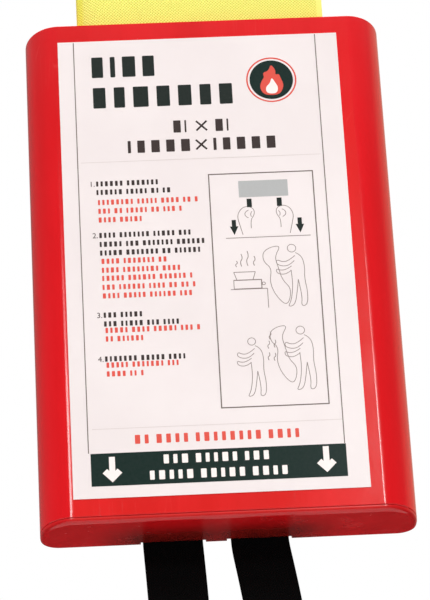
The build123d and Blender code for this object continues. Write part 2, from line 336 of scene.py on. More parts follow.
def selvedge_band(finish, across):
    """1 on the cloth's two woven edges, about 3 mm wide."""
    from_middle = finish.math("ABSOLUTE", finish.math("SUBTRACT", across, CLOTH_SIDE / 2))
    return finish.ramp(finish.math("SUBTRACT", CLOTH_SIDE / 2, from_middle), 3.4 * MM, 2.6 * MM)


def uneven_yarn(finish):
    """Slow changes of thickness along the warp and the weft."""
    warp = finish.noise(finish.coordinates("UV", scale=(1, 0.05, 1)), 900, 2)
    weft = finish.noise(finish.coordinates("UV", scale=(0.05, 1, 1)), 900, 2)
    return finish.math("MULTIPLY", finish.math("ADD", warp, weft), 0.5)


def webbing():
    """Black webbing: warp cords run along the tape and the weft steps across them in a chevron."""
    finish = Finish("tape_webbing")
    parts = finish.node("SeparateXYZ", {0: finish.coordinates("UV")}).outputs
    cord = finish.math("SINE", finish.math("MULTIPLY", parts["X"], 2 * math.pi / WEBBING_CORD_PITCH))
    stepped = finish.math("ADD", parts["Y"], finish.math("PINGPONG", parts["X"], WEBBING_CHEVRON))
    step = finish.math("SINE", finish.math("MULTIPLY", stepped, 2 * math.pi / WEBBING_WEFT_PITCH))
    height = finish.math("ADD", finish.math("MULTIPLY", cord, 0.3), finish.math("MULTIPLY", step, 0.5))
    fuzz = finish.noise(finish.coordinates("UV"), 1500, 2)
    lit = finish.ramp(height, -0.6, 0.8)
    colour = finish.mix(lit, rgb(0.0003, 0.0003, 0.0004), rgb(0.0022, 0.0022, 0.0026))
    colour = finish.mix(finish.math("MULTIPLY", fuzz, 0.1), colour, rgb(0.008, 0.008, 0.009))
    finish.set(Base_Color=colour, Roughness=finish.math("MULTIPLY_ADD", fuzz, 0.15, 0.68))
    finish.set(Specular_IOR_Level=0.06)
    finish.bump(finish.math("ADD", height, fuzz), 0.22 * MM, 0.8)
    return finish.material


def sewing_thread():
    """Black polyester thread, twisted along its length."""
    finish = Finish("sewing_thread")
    parts = finish.node("SeparateXYZ", {0: finish.coordinates()}).outputs
    slant = finish.math("ADD", parts["X"], parts["Z"])
    twist = finish.math("SINE", finish.math("MULTIPLY", slant, 2 * math.pi / SEWING_TWIST_PITCH))
    colour = finish.mix(finish.ramp(twist, -1, 1), rgb(0.003, 0.003, 0.004), rgb(0.016, 0.016, 0.019))
    finish.set(Base_Color=colour, Roughness=finish.math("MULTIPLY_ADD", twist, 0.08, 0.45))
    finish.set(Sheen_Weight=0.1)
    finish.bump(twist, 0.05 * MM, 0.6)
    return finish.material


def plated_steel():
    """Zinc-plated screws: a brushed satin metal with darker spots."""
    finish = Finish("screw_steel")
    brushed = finish.noise(finish.coordinates(scale=(1, 1, 12)), 900, 3)
    spots = finish.ramp(finish.noise(finish.coordinates(), 700, 3), 0.55, 0.75)
    finish.set(Base_Color=finish.mix(spots, rgb(0.62, 0.61, 0.58), rgb(0.36, 0.34, 0.31)))
    finish.set(Metallic=1.0, Roughness=finish.math("MULTIPLY_ADD", brushed, 0.25, 0.24))
    finish.bump(brushed, 0.03 * MM, 0.4)
    return finish.material


def paint_cad_nodes():
    """The hard pieces keep their modelled shape and get their own finishes."""
    case_plastic = moulded_plastic("case_plastic", *CASE_RED)
    cap_plastic = moulded_plastic(
        "cap_plastic",
        # The cap's darker red is painted shade on the downward end.
        *CAP_SHADED_RED,
        gloss=0.2,
        scratched=0.2,
        scuff_below=CASE_BOTTOM,
        # Painted shade round each tape where it leaves the cap.
        tape_shade_at=[middle * MM for _, middle, *_ in TAPE_LAYOUT],
    )
    finishes = {
        "front_shell": case_plastic,
        "top_cap": case_plastic,
        "back_plate": moulded_plastic("plate_plastic", *PLATE_RED, gloss=0.34),
        "bottom_cap": cap_plastic,
        "label_sheet": label_film(),
        "case_screws": plated_steel(),
    }
    for node_name, material in finishes.items():
        for material_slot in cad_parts[node_name].material_slots:
            material_slot.material = material


DARK_INK = ink("dark_ink", 0.012, 0.022, 0.020)
BLACK_INK = ink("black_ink", 0.045, 0.035, 0.035)
GREEN_INK = ink("green_ink", 0.004, 0.022, 0.019)
RED_INK = ink("red_ink", 0.74, 0.10, 0.075)
GREY_INK = ink("grey_ink", 0.46, 0.50, 0.51)
PALE_INK = ink("pale_ink", 0.70, 0.67, 0.67)
LINE_INK = ink("line_ink", 0.16, 0.14, 0.13)
PALE_LINE_INK = ink("pale_line_ink", 0.24, 0.21, 0.20)
WHITE_INK = ink("white_ink", 0.94, 0.92, 0.91)


# ---------------------------------------------------------------- the folded blanket

CLOTH_THICKNESS = 0.45 * MM
PACK_WIDTH = PACK_HIGH.x - PACK_LOW.x
PACK_DEPTH = PACK_HIGH.y - PACK_LOW.y
PACK_MIDDLE = (PACK_LOW.y + PACK_HIGH.y) / 2
PASS_PITCH = PACK_DEPTH / PASSES
LAYER_PITCH = PASS_PITCH / PANELS
# How finely each flat and each turn is divided, across and along the cloth.
PANEL_STEPS = 12
FOLD_STEPS = 6
PASS_STEPS = 24
TURN_STEPS = 12
# The looseness of the stack: how its left folds draw together, its waves, the room it leaves at its sides,
# and how unevenly its folded edges and its ends lie.
FOLD_ROUNDING = 6.5 * MM
FOLD_SQUEEZE = 0.42
WAVE_DEPTH = 0.35 * MM
SIDE_SWAY = 0.4 * MM
SIDE_SLACK = 0.9 * MM
LEFT_SHIFT = 0.3 * MM
EDGE_DRIFT = (0.1 * MM, 1.3 * MM)
END_CLEARANCE = 1.2 * MM
FOLD_SEED = 11


def fold_stations(count, flat_steps, turn_steps):
    """Stations along a folded length, each (run, share of the run, angle round the turn that ends it).

    The angle is None on the flats."""
    stations = []
    for run in range(count):
        stations += [(run, index / flat_steps, None) for index in range(flat_steps + 1)]
        if run < count - 1:
            stations += [(run, 1.0, math.pi * index / turn_steps) for index in range(1, turn_steps)]
    return stations


def across_fold(station, edge_drift):
    """Across the cloth: where a station lies in x, and how far its layer is from the strip's middle."""
    run, share, angle = station
    half = PACK_WIDTH / 2 - CLOTH_THICKNESS / 2
    radius = LAYER_PITCH / 2
    start = half - radius - edge_drift[run]
    end = half - radius - edge_drift[run + 1]
    offset = (run - (PANELS - 1) / 2) * LAYER_PITCH
    sign = -1 if run % 2 == 0 else 1
    if angle is None:
        return sign * (share * end - (1 - share) * start), offset
    reach = end + radius * math.sin(angle) * 1.6
    return sign * reach, offset + radius * (1 - math.cos(angle))


def along_fold(station, offset, end_drift):
    """Along the folded strip: the depth and height of a layer that lies offset from the strip's middle."""
    run, share, angle = station
    low = PACK_LOW.z + PASS_PITCH
    high = PACK_HIGH.z - PASS_PITCH
    middle = PACK_LOW.y + (run + 0.5) * PASS_PITCH
    rising = run % 2 == 0
    side = offset if rising else -offset
    if angle is None:
        bottom = low - end_drift if run in (0, PASSES - 1) else low
        height = bottom + (high - bottom) * (share if rising else 1 - share)
        return middle + side, height
    turn_radius = PASS_PITCH / 2 - side
    depth = middle + PASS_PITCH / 2 - turn_radius * math.cos(angle)
    lift = turn_radius * math.sin(angle)
    return depth, high + lift if rising else low - lift


def settle(point):
    """Loosens the stack: its left folds draw together, and slow waves run through all its layers."""
    left = max(0.0, (-point.x - PACK_WIDTH / 2 + FOLD_ROUNDING) / FOLD_ROUNDING)
    squeeze = 1 - FOLD_SQUEEZE * left**2.4
    waves = noise.noise(Vector((point.x * 22, 3.1, point.z * 14)))
    sway = noise.noise(Vector((7.7, point.y * 30, point.z * 16)))
    depth = PACK_MIDDLE + (point.y - PACK_MIDDLE) * squeeze + waves * WAVE_DEPTH
    slack = 1 - SIDE_SLACK / (PACK_WIDTH / 2)
    return Vector((point.x * slack - LEFT_SHIFT + sway * SIDE_SWAY, depth, point.z))


def fold_blanket():
    """A flat square of cloth, folded in panels across and then in passes along."""
    across = fold_stations(PANELS, PANEL_STEPS, FOLD_STEPS)
    along = fold_stations(PASSES, PASS_STEPS, TURN_STEPS)
    draw = random.Random(FOLD_SEED)
    edge_drift = [draw.uniform(*EDGE_DRIFT) for _ in range(PANELS + 1)]
    edge_drift[0] = edge_drift[1] = 0.0
    bm = bmesh.new()
    bmesh.ops.create_grid(bm, x_segments=len(across) - 1, y_segments=len(along) - 1, size=0.5)
    weave = bm.loops.layers.uv.new("weave")
    places = {}
    for vert in bm.verts:
        column = round((vert.co.x + 0.5) * (len(across) - 1))
        row = round((vert.co.y + 0.5) * (len(along) - 1))
        places[vert] = (across[column], along[row])
    for vert, (cross_station, long_station) in places.items():
        x, offset = across_fold(cross_station, edge_drift)
        end_drift = (PASS_PITCH - END_CLEARANCE) * 0.9 + offset * 0.15
        y, z = along_fold(long_station, offset, end_drift)
        vert.co = settle(Vector((x, y, z)))
    lay_weave_on_cloth(bm, weave, places)
    bmesh.ops.recalc_face_normals(bm, faces=bm.faces)
    bmesh.ops.solidify(bm, geom=bm.faces[:], thickness=CLOTH_THICKNESS)
    bmesh.ops.recalc_face_normals(bm, faces=bm.faces)
    piece = new_piece("woven_blanket", bm, woven_cloth(), "blanket", 60)
    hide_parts("folded_blanket")


def lay_weave_on_cloth(bm, weave, places):
    """The weave's map is the flat cloth itself, in metres."""
    panel, run_length = CLOTH_SIDE / PANELS, CLOTH_SIDE / PASSES
    for face in bm.faces:
        for loop in face.loops:
            (panel_index, panel_share, _), (pass_index, pass_share, _) = places[loop.vert]
            loop[weave].uv = ((panel_index + panel_share) * panel, (pass_index + pass_share) * run_length)


# ---------------------------------------------------------------- pull tapes and their stitching

TAPE_THICKNESS = 1.3 * MM
TAPE_REAR_GAP = 0.1 * MM
TAPE_HEM = 26 * MM
TAPE_BELOW_CASE = 130 * MM
TAPE_BEND_RADIUS = 60 * MM
TAPE_BELLY = 0.8 * MM
TAPE_EDGE_SOFTNESS = 0.38 * MM
HEM_GAP = 0.1 * MM
HEM_FOLD_RADIUS = (TAPE_THICKNESS + HEM_GAP) / 2
# How finely a tape is divided: across it, down its run, and round and after the hem's fold.
TAPE_COLUMNS = 10
RUN_STEPS = 70
TURN_REACH = 3 * MM
HEM_TURN_STEPS = 24
HEM_STEPS = 10
STITCH_LENGTH = 2.3 * MM
STITCH_PITCH = 3.0 * MM
STITCH_RADIUS = 0.22 * MM
# A stitch dips into the webbing at both ends and rises between them; (share of its length, rise in radii).
STITCH_PROFILE = ((0, -0.25), (0.2, 0.75), (0.8, 0.75), (1, -0.25))
ANCHOR_SQUARE = 24 * MM
ANCHOR_MIDDLE = 16 * MM
HEM_ROWS = (-4 * MM, 4 * MM)


class Tape:
    """One hanging pull tape: where each point of its webbing lies, from the anchor down to the hem."""

    def __init__(self, side, middle, width, lean, curl, twist):
        self.side, self.middle, self.width = side, middle * MM, width * MM
        self.lean, self.curl, self.twist = math.radians(lean), curl * MM, math.radians(twist)
        self.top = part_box(side + "_pull_tape")[1].z
        self.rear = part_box(side + "_pull_tape")[1].y - TAPE_REAR_GAP
        self.inside = self.top - CASE_BOTTOM
        self.length = self.inside + TAPE_BELOW_CASE - TAPE_BEND_RADIUS * math.sin(self.lean)
        self.length += TAPE_BEND_RADIUS * self.lean
        self.cut = self.length + TAPE_HEM

    def point(self, distance, across, depth):
        """A point at a distance down the tape, across from its middle line, and forward of its rear face."""
        below = max(0.0, distance - self.inside)
        turned = min(self.lean, below / TAPE_BEND_RADIUS)
        straight = max(0.0, below - TAPE_BEND_RADIUS * self.lean)
        x = self.middle + TAPE_BEND_RADIUS * (1 - math.cos(turned)) + straight * math.sin(self.lean)
        z = self.top - distance
        if below:
            z = CASE_BOTTOM - TAPE_BEND_RADIUS * math.sin(turned) - straight * math.cos(self.lean)
        share = below / TAPE_BELOW_CASE
        sway = self.curl * math.sin(2 * math.pi * share)
        place = Vector((x, 0, z)) + Vector((math.cos(turned), 0, math.sin(turned))) * (across + sway)
        belly = TAPE_BELLY * math.sin(math.pi * min(1.0, share))
        place.y = self.rear - depth - across * self.twist * share**1.5 - belly
        return place

    def folded_point(self, walked, across):
        """The middle of the webbing at a distance along its cut length, which folds forward at the hem."""
        fold_at = self.length - HEM_FOLD_RADIUS
        folded = max(0.0, walked - fold_at)
        angle = min(math.pi, folded / HEM_FOLD_RADIUS)
        back = max(0.0, folded - math.pi * HEM_FOLD_RADIUS)
        distance = min(walked, fold_at) + HEM_FOLD_RADIUS * math.sin(angle) - back
        return self.point(distance, across, TAPE_THICKNESS / 2 + HEM_FOLD_RADIUS * (1 - math.cos(angle)))


def tape_steps(tape):
    """Distances of the webbing's rows: wide on the run, fine round the hem's fold."""
    fold_start = tape.length - TURN_REACH
    fold_end = tape.length + TURN_REACH
    run = [fold_start * index / RUN_STEPS for index in range(RUN_STEPS)]
    fold = [fold_start + (fold_end - fold_start) * index / HEM_TURN_STEPS for index in range(HEM_TURN_STEPS)]
    hem = [fold_end + (tape.cut - fold_end) * index / HEM_STEPS for index in range(HEM_STEPS + 1)]
    return run + fold + hem


def make_tape(tape, material):
    """A strip of webbing with soft edges, folded forward on itself at its lower end."""
    steps = tape_steps(tape)
    bm = bmesh.new()
    bmesh.ops.create_grid(bm, x_segments=TAPE_COLUMNS, y_segments=len(steps) - 1, size=0.5)
    weave = bm.loops.layers.uv.new("weave")
    places = {}
    for vert in bm.verts:
        row = round((0.5 - vert.co.y) * (len(steps) - 1))
        places[vert] = (vert.co.x * (tape.width - 2 * STITCH_RADIUS), steps[row])
    for vert, (across, walked) in places.items():
        vert.co = tape.folded_point(walked, across)
    for face in bm.faces:
        for loop in face.loops:
            loop[weave].uv = places[loop.vert]
    bmesh.ops.recalc_face_normals(bm, faces=bm.faces)
    bmesh.ops.solidify(bm, geom=bm.faces[:], thickness=TAPE_THICKNESS)
    bmesh.ops.recalc_face_normals(bm, faces=bm.faces)
    seat_rear_face(bm, tape)
    rims = [edge for edge in bm.edges if edge.calc_face_angle(0) > math.radians(70)]
    softness = TAPE_EDGE_SOFTNESS
    bmesh.ops.bevel(bm, geom=rims, offset=softness, segments=2, affect="EDGES", profile=0.5, material=-1)
    piece = new_piece(tape.side + "_webbing_tape", bm, material, "blanket", 60)
    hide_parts(tape.side + "_pull_tape")


def seat_rear_face(bm, tape):
    """Puts the webbing's rear face on its plane: the wall grows to one side of the folded strip."""
    inside = [vert.co.y for vert in bm.verts if vert.co.z > CASE_BOTTOM]
    bmesh.ops.translate(bm, verts=bm.verts, vec=(0, tape.rear - max(inside), 0))


def stitch_seam(curve, tape, start, end, depth, outward):
    """A straight row of stitches between two (across, distance) points on one face of the tape."""
    start, end = Vector(start), Vector(end)
    count = max(1, int((end - start).length / STITCH_PITCH))
    step = (end - start) / count
    stitched = STITCH_LENGTH / STITCH_PITCH
    for index in range(count):
        first = start + step * (index + (1 - stitched) / 2)
        last = first + step * stitched
        spline = curve.splines.new("NURBS")
        spline.points.add(len(STITCH_PROFILE) - 1)
        for point, (share, rise) in zip(spline.points, STITCH_PROFILE):
            flat = first.lerp(last, share)
            place = tape.point(flat.y, flat.x, depth + outward * rise * STITCH_RADIUS)
            point.co = (*place, 1)
        spline.order_u = 3
        spline.use_endpoint_u = True


def make_stitching(tape, material):
    """The crossed square that holds the tape to the blanket, and the two rows that close its hem."""
    curve = rod_curve("stitches", STITCH_RADIUS, 3)
    half = ANCHOR_SQUARE / 2
    low, high = ANCHOR_MIDDLE - half, ANCHOR_MIDDLE + half
    corners = [(-half, low), (half, low), (half, high), (-half, high)]
    seams = list(zip(corners, corners[1:] + corners[:1]))
    seams += [(corners[0], corners[2]), (corners[1], corners[3])]
    for start, end in seams:
        stitch_seam(curve, tape, start, end, 0.0, -1)
    for row in HEM_ROWS:
        distance = tape.length - TAPE_HEM / 2 + row
        for depth, outward in ((0.0, -1), (2 * TAPE_THICKNESS + HEM_GAP, 1)):
            stitch_seam(curve, tape, (-half, distance), (half, distance), depth, outward)
    mesh = mesh_of(new_object(curve))
    piece = new_piece(tape.side + "_stitches", mesh, material, "blanket", 60)
    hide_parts(tape.side + "_tape_stitching")


# ---------------------------------------------------------------- the printed label

# The print is greeked: plain blocks stand for letters, and the pictures are simple line figures. Places on
# the label are (x, z) in millimetres.
INK_THICKNESS = 0.04 * MM
INK_SINK = 0.02 * MM
INK_LEVEL = 0.002 * MM
INK_LEVELS = 5
OVERPRINT = 0.9 * INK_THICKNESS
STAND_UP = Matrix.Rotation(math.radians(90), 4, "X")
DISC_SEGMENTS = 48
# A capital's height as a share of the font's size.
CAPITAL_SHARE = 0.69


class Print:
    """One ink's share of the label: flat closed shapes gathered in a bmesh and made into a piece."""

    def __init__(self):
        self.bm = bmesh.new()
        self.shapes = 0

    def lift(self):
        """The ink's height for the next shape: shapes that cross never share one plane."""
        self.shapes += 1
        return INK_THICKNESS + self.shapes % INK_LEVELS * INK_LEVEL

    def block(self, left, top, width, height):
        low = (left * MM, LABEL_FACE - self.lift(), (top - height) * MM)
        high = ((left + width) * MM, LABEL_FACE + INK_SINK, top * MM)
        return add_box(self.bm, low, high)

    def rounded_block(self, left, top, width, height, radius):
        verts = self.block(left, top, width, height)
        edges = {edge for vert in verts for edge in vert.link_edges}
        corners = [edge for edge in edges if abs(edge.verts[0].co.y - edge.verts[1].co.y) > INK_THICKNESS / 2]
        bmesh.ops.bevel(
            self.bm, geom=corners, offset=radius * MM, segments=3, affect="EDGES", profile=0.5, material=-1
        )

    def frame(self, left, right, top, bottom, line):
        self.block(left, top, right - left, line)
        self.block(left, bottom + line, right - left, line)
        self.block(left, top - line, line, top - bottom - 2 * line)
        self.block(right - line, top - line, line, top - bottom - 2 * line)

    def bar(self, start, end, width):
        """A straight bar between two points, with square ends."""
        start, end = Vector((start[0], 0, start[1])) * MM, Vector((end[0], 0, end[1])) * MM
        run = end - start
        thickness = self.lift() + INK_SINK
        depth = Vector((0, LABEL_FACE + INK_SINK - thickness / 2, 0))
        turn = Matrix.Rotation(-math.atan2(run.z, run.x), 4, "Y")
        size = Matrix.Diagonal((run.length, thickness, width * MM, 1))
        place = Matrix.Translation((start + end) / 2 + depth)
        bmesh.ops.create_cube(self.bm, size=1, matrix=place @ turn @ size)

    def disc(self, centre, radius, hole=0.0):
        """A flat disc, or a ring when it has a hole."""
        bm = bmesh.new()
        bmesh.ops.create_circle(bm, segments=DISC_SEGMENTS, radius=radius * MM, cap_ends=True)
        if hole:
            whole = bm.faces[:]
            band = (radius - hole) * MM
            bmesh.ops.inset_region(bm, faces=whole, thickness=band, use_boundary=True, use_even_offset=True)
            bmesh.ops.delete(bm, geom=whole, context="FACES")
        self.add_flat(bm, centre)

    def petal(self, centre, outline):
        """A flat filled shape with a smooth outline given by a few control points."""
        curve = bpy.data.curves.new("outline", "CURVE")
        curve.dimensions = "2D"
        curve.fill_mode = "BOTH"
        add_spline(curve, outline, True)
        curve.resolution_u = 6
        self.add_flat(merged_bmesh(mesh_of(new_object(curve)), 0.001 * MM), centre)

    def arrow_head(self, x, top, width, height):
        """A solid triangle that points down."""
        bm = bmesh.new()
        bmesh.ops.create_circle(bm, segments=3, radius=1, cap_ends=True)
        across, along = [vert.co.x for vert in bm.verts], [vert.co.y for vert in bm.verts]
        wide, tall = max(across) - min(across), max(along) - min(along)
        flip = Matrix.Diagonal((width * MM / wide, -height * MM / tall, 1, 1))
        bmesh.ops.transform(bm, verts=bm.verts, matrix=flip @ Matrix.Translation((0, -min(along), 0)))
        self.add_flat(bm, (x, top))

    def add_flat(self, bm, centre):
        """Stands a flat xy shape up on the label and gives it the ink's thickness."""
        shift = Matrix.Translation((centre[0] * MM, LABEL_FACE - INK_THICKNESS, centre[1] * MM))
        bmesh.ops.transform(bm, verts=bm.verts, matrix=shift @ STAND_UP)
        bmesh.ops.recalc_face_normals(bm, faces=bm.faces)
        grown = bmesh.ops.extrude_face_region(bm, geom=bm.faces[:])
        moved = [item for item in grown["geom"] if isinstance(item, bmesh.types.BMVert)]
        bmesh.ops.translate(bm, verts=moved, vec=(0, INK_THICKNESS + INK_SINK, 0))
        bmesh.ops.recalc_face_normals(bm, faces=bm.faces)
        self.take(bm)

    def strokes(self, lines, width, closed=False):
        """Smooth pen strokes, each through the neighbourhood of its points."""
        curve = rod_curve("strokes", width * MM / 2, 5)
        for line in lines:
            add_spline(curve, line, closed)
        mesh = mesh_of(new_object(curve))
        flat = Matrix.Diagonal((1, 2 * INK_THICKNESS / (width * MM), 1, 1))
        mesh.transform(Matrix.Translation((0, LABEL_FACE, 0)) @ flat @ STAND_UP)
        bm = merged_bmesh(mesh, 0.002 * MM)
        bmesh.ops.recalc_face_normals(bm, faces=bm.faces)
        self.take(bm)

    def numeral(self, text, left, top, height):
        """A number from Blender's own font, set upright on the label."""
        words = bpy.data.curves.new("numeral", "FONT")
        words.body = text
        words.size = height * MM / CAPITAL_SHARE
        words.extrude = (INK_THICKNESS + INK_SINK) / 2
        depth = LABEL_FACE - INK_THICKNESS + words.extrude
        mesh = mesh_of(new_object(words))
        mesh.transform(Matrix.Translation((left * MM, depth, (top - height) * MM)) @ STAND_UP)
        self.take(merged_bmesh(mesh, 0.001 * MM))

    def take(self, bm):
        """Adds a finished shape to this ink."""
        mesh = bpy.data.meshes.new("shape")
        bm.to_mesh(mesh)
        bm.free()
        self.bm.from_mesh(mesh)
        bpy.data.meshes.remove(mesh)

    def finish(self, name, material, overprints=0):
        """Makes the piece, raised by one overprint for each layer of ink that it lies on."""
        if overprints:
            bmesh.ops.translate(self.bm, verts=self.bm.verts, vec=(0, -overprints * OVERPRINT, 0))
        return new_piece(name, self.bm, material, "case")


def add_spline(curve, points, closed):
    spline = curve.splines.new("NURBS")
    spline.points.add(len(points) - 1)
    for point, (x, z) in zip(spline.points, points):
        point.co = (x * MM, z * MM, 0, 1)
    spline.order_u = 3
    spline.use_endpoint_u = not closed
    spline.use_cyclic_u = closed


# ---------------------------------------------------------------- rows that stand for the label's wording

# Blocks in running text, as shares of their height: a letter's width, the gap after it and after a word.
SMALL_TEXT = (0.44, 0.4, 0.4)
LARGE_TEXT = (0.52, 0.47, 0.35)
RED_LINE_TEXT = (0.5, 0.47, 0.35)
WORD_LENGTHS = (2, 8)
# How far a letter's width may differ from the usual, the least room for one, and the radius of its corners.
LETTER_SPREAD = (0.75, 1.25)
LETTER_ROOM = 0.3
LETTER_CORNER = 0.08
STEP_CAP = 2.9
BANNER_CAP = 4.8
STEP_SEED = 5
BANNER_SEED = 3
# Half the width of a bar, seen along its slant of 45 degrees, as a share of the bar's width.
SLANT_SHARE = 0.354
# The two halves of the second size row are alike.
SIZE_ROW = (1.6, 3.9, 4.4, 4.4, 4.6)

# Each step: its number, the left edge of its rows, and (right end, top) of the dark and the red rows.
STEPS = (
    ("1", -59.8, ((-26.8, 47.2), (-20.4, 42.3)), ((-6.5, 36.5), (-15.6, 31.5), (-36.8, 26.5))),
    (
        "2",
        -59.2,
        ((-10.3, 17.7), (-5.2, 12.6), (-7.7, 7.7)),
        ((-23.9, 3.0), (-18.5, -2.0), (-12.0, -6.6), (-11.1, -11.6), (-12.0, -16.4)),
    ),
    ("3", -58.6, ((-37.9, -27.1), (-19.1, -32.0)), ((-8.2, -35.6), (-38.8, -40.3))),
    ("4", -58.8, ((-17.5, -51.3),), ((-19.7, -54.7), (-39.7, -59.5))),
)


def greek_row(ink_share, left, right, top, height, draw, proportions):
    """A row of letter-size blocks in words; their widths and the words' lengths are drawn."""
    letter, gap, space = proportions
    x = left
    letters_left = draw.randint(*WORD_LENGTHS)
    while right - x > LETTER_ROOM * height:
        width = min(height * letter * draw.uniform(*LETTER_SPREAD), right - x)
        ink_share.rounded_block(x, top, width, height, height * LETTER_CORNER)
        x += width + height * gap
        letters_left -= 1
        if letters_left == 0:
            letters_left = draw.randint(*WORD_LENGTHS)
            x += height * space


def letter_blocks(ink_share, left, top, height, widths, gap, radius):
    x = left
    for width in widths:
        ink_share.rounded_block(x, top, width, height, radius)
        x += width + gap


def cross_sign(ink_share, centre, size, line):
    """A multiplication sign."""
    x, z = centre
    half = size / 2
    ink_share.bar((x - half, z - half), (x + half, z + half), line)
    ink_share.bar((x - half, z + half), (x + half, z - half), line)


def down_arrow(ink_share, tip, height, width, stem, line):
    """An arrow that points down: a stem and two slanted arms."""
    x, z = tip
    ink_share.block(x - stem / 2, z + height, stem, height - line)
    corner = line * SLANT_SHARE
    for side in (-1, 1):
        start = (x - side * corner, z + corner)
        end = (x + side * (width / 2 - corner), z + width / 2 + corner)
        ink_share.bar(start, end, line)


def print_titles():
    """The two heading rows and the two size rows under them."""
    dark = Print()
    letter_blocks(dark, -59.8, 120.1, 12.2, (6.0, 2.6, 6.9, 6.2), 3.8, 0.5)
    letter_blocks(dark, -59.6, 101.9, 12.1, (6.6, 5.7, 8.0, 6.9, 7.0, 5.9, 6.9), 4.4, 0.5)
    dark.finish("label_heading", DARK_INK)
    black = Print()
    for left in (-18.2, 3.9):
        letter_blocks(black, left, 81, 7.1, (3.9, 0.9), 2.0, 0.3)
    cross_sign(black, (-3.4, 77.4), 5.6, 1.0)
    for left in (-42.5, 2.3):
        letter_blocks(black, left, 70, 7.1, SIZE_ROW, 3.4, 0.3)
    cross_sign(black, (-4.0, 66.4), 5.6, 1.0)
    black.finish("label_size_rows", BLACK_INK)


def print_steps():
    """The four numbered steps, each with dark and red rows, and the red line under them."""
    draw = random.Random(STEP_SEED)
    dark, red = Print(), Print()
    for number, left, dark_rows, red_rows in STEPS:
        dark.numeral(number + ".", left - 3.6, dark_rows[0][1], STEP_CAP)
        for right, top in dark_rows:
            greek_row(dark, left, right, top, STEP_CAP, draw, SMALL_TEXT)
        for right, top in red_rows:
            greek_row(red, left + 0.6, right, top, STEP_CAP, draw, SMALL_TEXT)
    dark.finish("label_step_rows", BLACK_INK)
    greek_row(red, -45.5, 38.0, -94.5, BANNER_CAP, draw, RED_LINE_TEXT)
    red.finish("label_red_rows", RED_INK)


def print_banner():
    """The dark strip along the label's lower edge, with two rows and two arrows in white."""
    strip = Print()
    strip.block(-68.0, -103.7, 127.9, 17.4)
    strip.finish("label_banner", GREEN_INK)
    draw = random.Random(BANNER_SEED)
    white = Print()
    greek_row(white, -31.6, 24.3, -105.6, BANNER_CAP, draw, LARGE_TEXT)
    greek_row(white, -38.8, 31.3, -113.9, BANNER_CAP, draw, LARGE_TEXT)
    down_arrow(white, (-57.4, -119.2), 13.5, 9.8, 3.0, 3.2)
    down_arrow(white, (49.7, -118.6), 13.8, 9.8, 3.0, 3.2)
    white.finish("label_banner_marks", WHITE_INK, overprints=1)


def print_hairlines():
    """Thin lines down both sides of the print, and two faint ones across it."""
    sides = Print()
    sides.block(-69.2, 129.2, 0.5, 232.6)
    sides.block(59.1, 129.4, 0.5, 232.9)
    sides.finish("label_side_lines", LINE_INK)
    across = Print()
    across.block(-67.3, 58.4, 125.3, 0.3)
    across.block(-66.8, -90.5, 126.0, 0.3)
    across.finish("label_cross_lines", PALE_INK)


# ---------------------------------------------------------------- the fire sign and the pictures

EMBLEM_CENTRE = (34.8, 103.0)
EMBLEM_DISC = 11.5
EMBLEM_RING = (13.3, 12.5)
FLAME = (
    (0, -9.2), (-4.4, -8.6), (-6.4, -4.6), (-5.2, -0.4), (-3.6, 1.4), (-4.4, 4.4), (-1.2, 5.2), (0.2, 9.4),
    (2.6, 5.6), (2.2, 2.8), (4.2, 3.4), (5.0, 0.8), (6.6, -3.6), (4.4, -8.6),
)
FLAME_HEART = (
    (0, -8.4), (-3.0, -7.6), (-3.2, -4.2), (-0.8, -2.2), (0.2, 1.6), (1.8, -1.6), (3.4, -4.4), (2.8, -7.8),
)

PEN = 0.36
SOFT_PEN = 0.42
# A plain standing figure that faces left with both arms out; (x, z) from the middle of its feet.
FIGURE_BACK = (
    (0.6, 29.6), (3.6, 28.2), (5.0, 22), (4.4, 15), (5.6, 8), (5.2, 0.2), (1.8, -0.6), (2.8, 5), (1.2, 14.5),
)
FIGURE_FRONT = (
    (1.2, 14.5), (0.2, 7), (-1.4, 0.2), (-5.0, -0.6), (-3.2, 2.6), (-2.0, 9), (-1.8, 15), (-2.2, 20),
)
FIGURE_ARM = (
    (0.2, 28.0), (-3.0, 25.2), (-6.4, 24.6), (-9.2, 26.2), (-9.6, 23.6), (-6.4, 22.2), (-2.8, 22.6),
    (-0.2, 25.2),
)
FIGURE_LOW_ARM = (
    (-1.8, 22.2), (-4.6, 20.2), (-7.8, 20.0), (-9.8, 21.0), (-9.6, 18.6), (-7.2, 17.6), (-4.2, 18.0),
    (-2.0, 19.8),
)
HEAD_RADIUS = 2.35
HEAD_ANGLES = [math.radians(step) for step in range(0, 360, 45)]
HEAD = tuple((math.cos(angle) * HEAD_RADIUS, math.sin(angle) * HEAD_RADIUS) for angle in HEAD_ANGLES)
KNOB_SCALE = 0.36
# A cloth held up in front of a figure, and a hand that grips a tape.
HELD_CLOTH = (
    (8.4, 36.5), (3.0, 36.0), (-1.4, 33.0), (-1.0, 27.5), (3.0, 24.0), (1.4, 16.0), (4.4, 8.0), (10.0, 2.0),
    (12.6, 12.0), (8.0, 17.0), (6.2, 25.0), (4.8, 30.5),
)
HAND = (
    (14.9, 13.5), (13.4, 19.5), (12.4, 24.4), (14.6, 28.6), (18.2, 29.8), (21.4, 28.0), (21.4, 24.6),
    (19.2, 21.8), (19.4, 17.0),
)
FINGERS = (
    ((18.4, 27.4), (16.6, 26.6), (16.4, 24.0), (18.2, 23.0)),
    ((20.2, 26.6), (19.0, 25.2), (19.8, 23.6)),
)
HANDS_APART = 54.2
